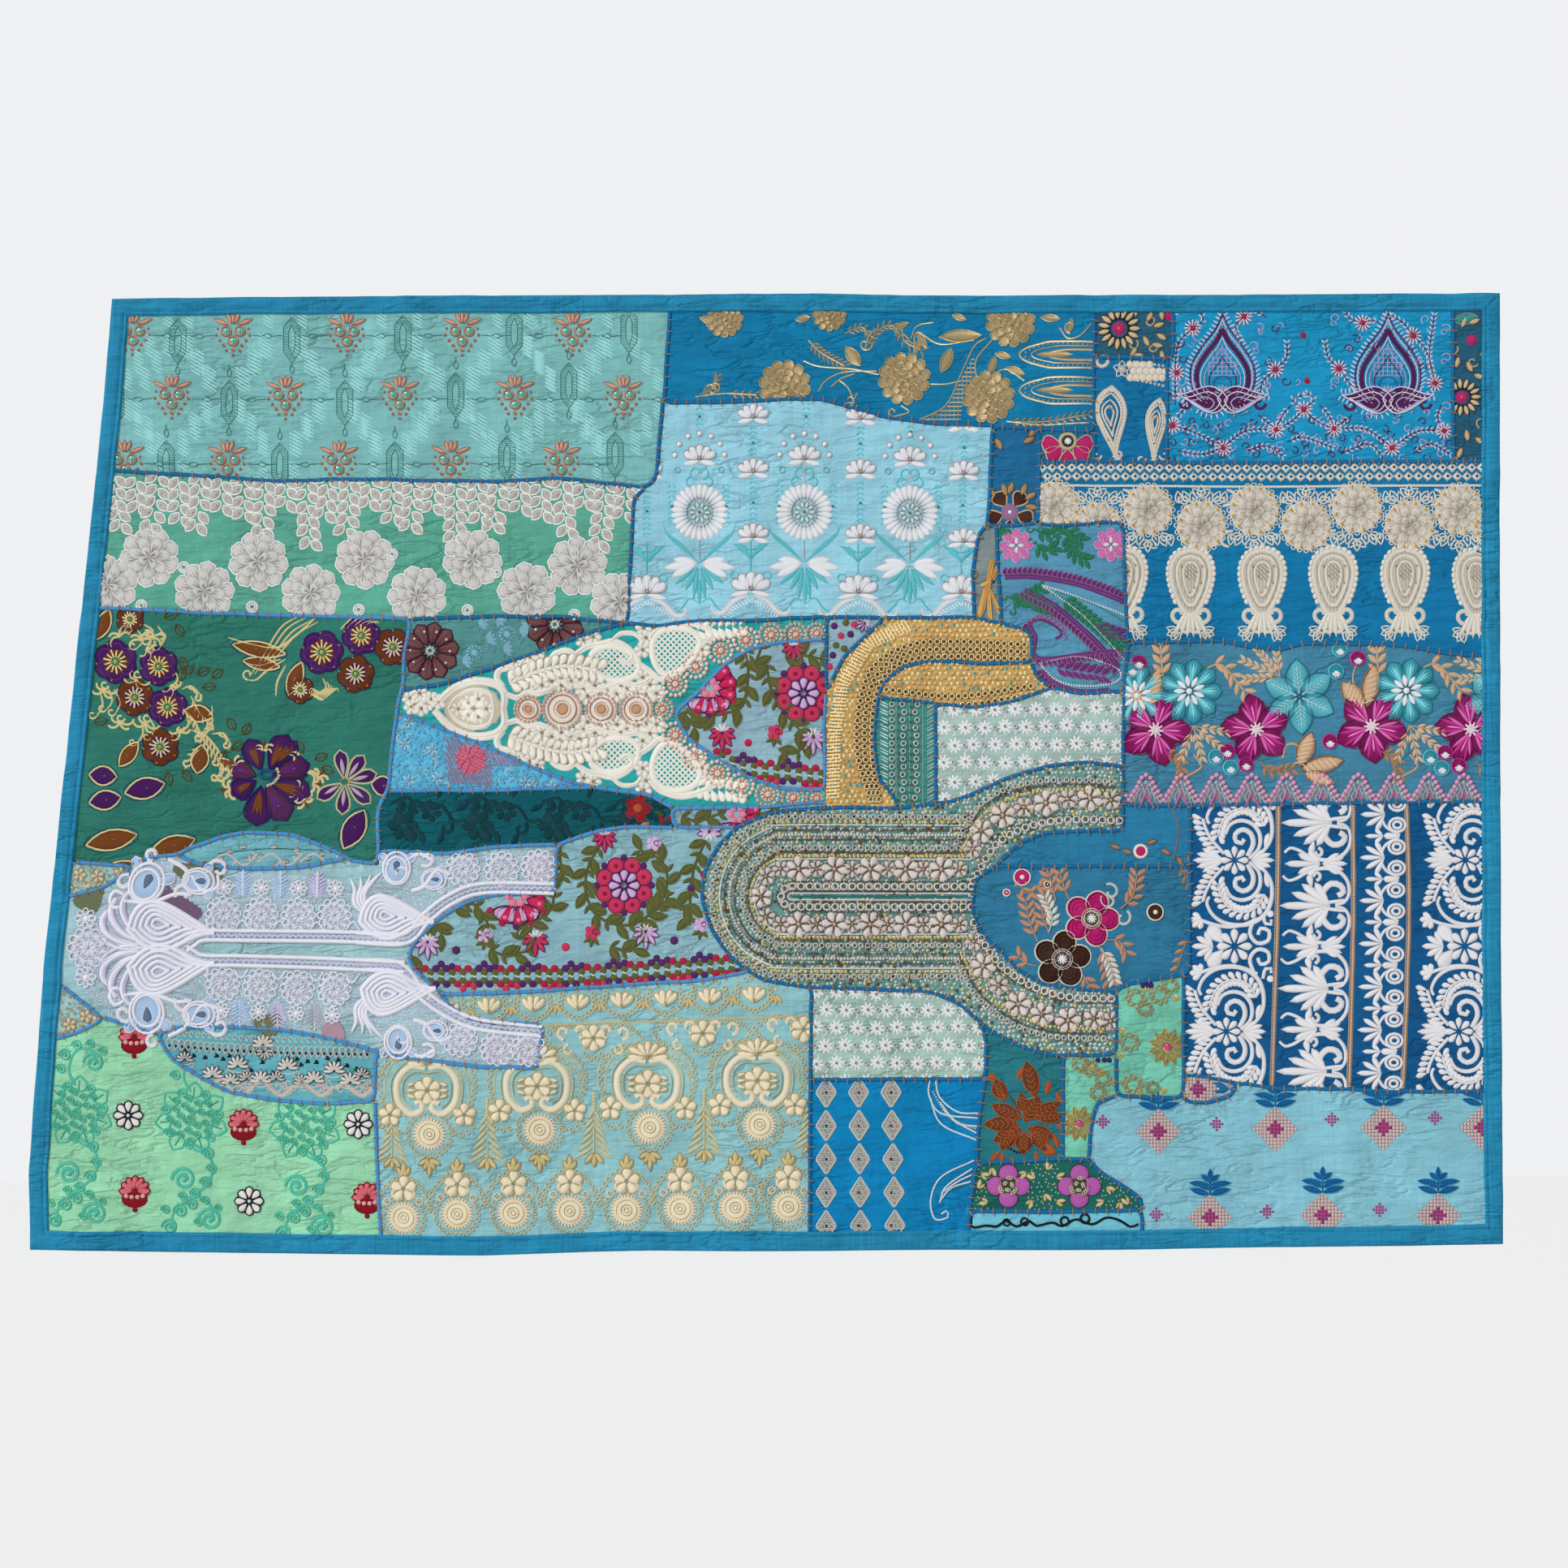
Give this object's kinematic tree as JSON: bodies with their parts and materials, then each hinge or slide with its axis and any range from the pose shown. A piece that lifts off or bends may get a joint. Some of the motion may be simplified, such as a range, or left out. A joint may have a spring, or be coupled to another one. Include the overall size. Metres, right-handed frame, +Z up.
{
  "type": "patchwork wall tapestry",
  "caption": "Landscape wall tapestry pieced from embroidered blue, teal and mint cloths, with couched seams and a folded cotton binding; hangs by its top edge to dress a wall.",
  "frame": {"origin": "The middle of the top edge, where the hanging is held.", "axes": "+X runs to the viewer's right along the width, +Y away from the viewer through the cloth, +Z up. The worked side faces -Y."},
  "size_m": [1.5746, 0.0107, 1.0316],
  "materials": {
    "ground_cotton": "plain woven cotton, matte",
    "binding_cotton": "slubby plain cotton, matte",
    "lace_white": "corded white lace, matte with soft sheen",
    "mint_damask": "damask with satin zigzags and woven copper flowers",
    "sage_silk": "art silk with silver ribbon roses and leaves",
    "forest_crepe": "crepe with purple, brown and cream satin stitch",
    "aqua_scroll": "fine crepe with taupe scroll embroidery",
    "dusty_teal_net": "sheer net with maroon petals",
    "teal_silk": "silk under ivory corded lace and copper beads",
    "greyblue_georgette": "georgette with berry flowers and olive vines",
    "sky_cotton": "cotton with white satin stitch medallions",
    "royal_silk": "silk with gold thread roses",
    "dark_blue_crepe": "crepe with beige sunflowers",
    "azure_silk": "silk with ivory thread borders and gold beads",
    "turquoise_silk": "silk with plum and white thread ogees",
    "deep_blue_crepe": "crepe with magenta and brown flowers",
    "teal_blue_georgette": "georgette with large magenta and turquoise flowers",
    "dusty_blue_cotton": "cotton with purple paisley and white beads",
    "grey_net": "sheer net with orange thread",
    "gold_tissue": "gold tissue covered in sequins",
    "teal_net": "net with columns of sequins",
    "grey_green_net": "net with white daisies",
    "beaded_teal": "georgette covered in silver and gold beads",
    "navy_cotton": "cotton with raised white scrolls",
    "light_blue_silk": "light silk with cross stitched diamonds",
    "greyed_print": "small pink check on grey",
    "mint_chiffon": "chiffon with gold sequin flowers",
    "petrol_crepe": "crepe with a rust flower",
    "bottle_green_silk": "silk with lilac flowers",
    "aqua_crepe": "crepe with a black curl line",
    "bright_blue_silk": "silk with silver thread diamonds",
    "aqua_cotton": "cotton with cream satin stitch",
    "pale_organza": "sheer pale organza",
    "cream_cloth": "crepe with cream stitched flowers",
    "mint_cotton": "cotton with swirled vines",
    "sky_ruched": "ruched crepe with pink beads",
    "teal_velvet": "devore velvet, dark and soft"
  },
  "bodies": {
    "root": {"ground_cloth": "ground_cotton", "binding_top": "binding_cotton", "binding_right": "binding_cotton", "binding_bottom": "binding_cotton", "binding_left": "binding_cotton", "lace_yoke": "lace_white", "mint_damask": "mint_damask", "silver_roses": "sage_silk", "forest_flowers": "forest_crepe", "scroll_lens": "aqua_scroll", "black_darts": "aqua_scroll", "maroon_flower": "dusty_teal_net", "ivory_lace": "teal_silk", "berry_ogee": "greyblue_georgette", "berry_corner": "greyblue_georgette", "berry_wide": "greyblue_georgette", "berry_sliver": "greyblue_georgette", "sky_medallions": "sky_cotton", "gold_roses": "royal_silk", "sunflower": "dark_blue_crepe", "sunflower_strip": "dark_blue_crepe", "ivory_mango": "azure_silk", "ivory_borders": "azure_silk", "plum_ogees": "turquoise_silk", "magenta_flower": "deep_blue_crepe", "brown_flower": "deep_blue_crepe", "blue_strip": "deep_blue_crepe", "blue_flowers": "deep_blue_crepe", "big_blooms": "teal_blue_georgette", "purple_paisley": "dusty_blue_cotton", "orange_tassel": "grey_net", "gold_arch": "gold_tissue", "gold_lens": "gold_tissue", "sequin_columns": "teal_net", "daisies_upper": "grey_green_net", "daisies_lower": "grey_green_net", "beaded_neck": "beaded_teal", "white_scrolls": "navy_cotton", "stitched_diamonds": "light_blue_silk", "pink_scrap": "greyed_print", "mint_sequins": "mint_chiffon", "mint_sequins_low": "mint_chiffon", "rust_flower": "petrol_crepe", "lilac_clover": "bottle_green_silk", "black_curl": "aqua_crepe", "silver_diamonds": "bright_blue_silk", "cream_crests": "aqua_cotton", "lace_ground": "pale_organza", "cream_scrap_upper": "cream_cloth", "cream_scrap_lower": "cream_cloth", "mint_vines": "mint_cotton", "ruched_pink": "sky_ruched", "teal_velvet": "teal_velvet"}
  },
  "joints": []
}
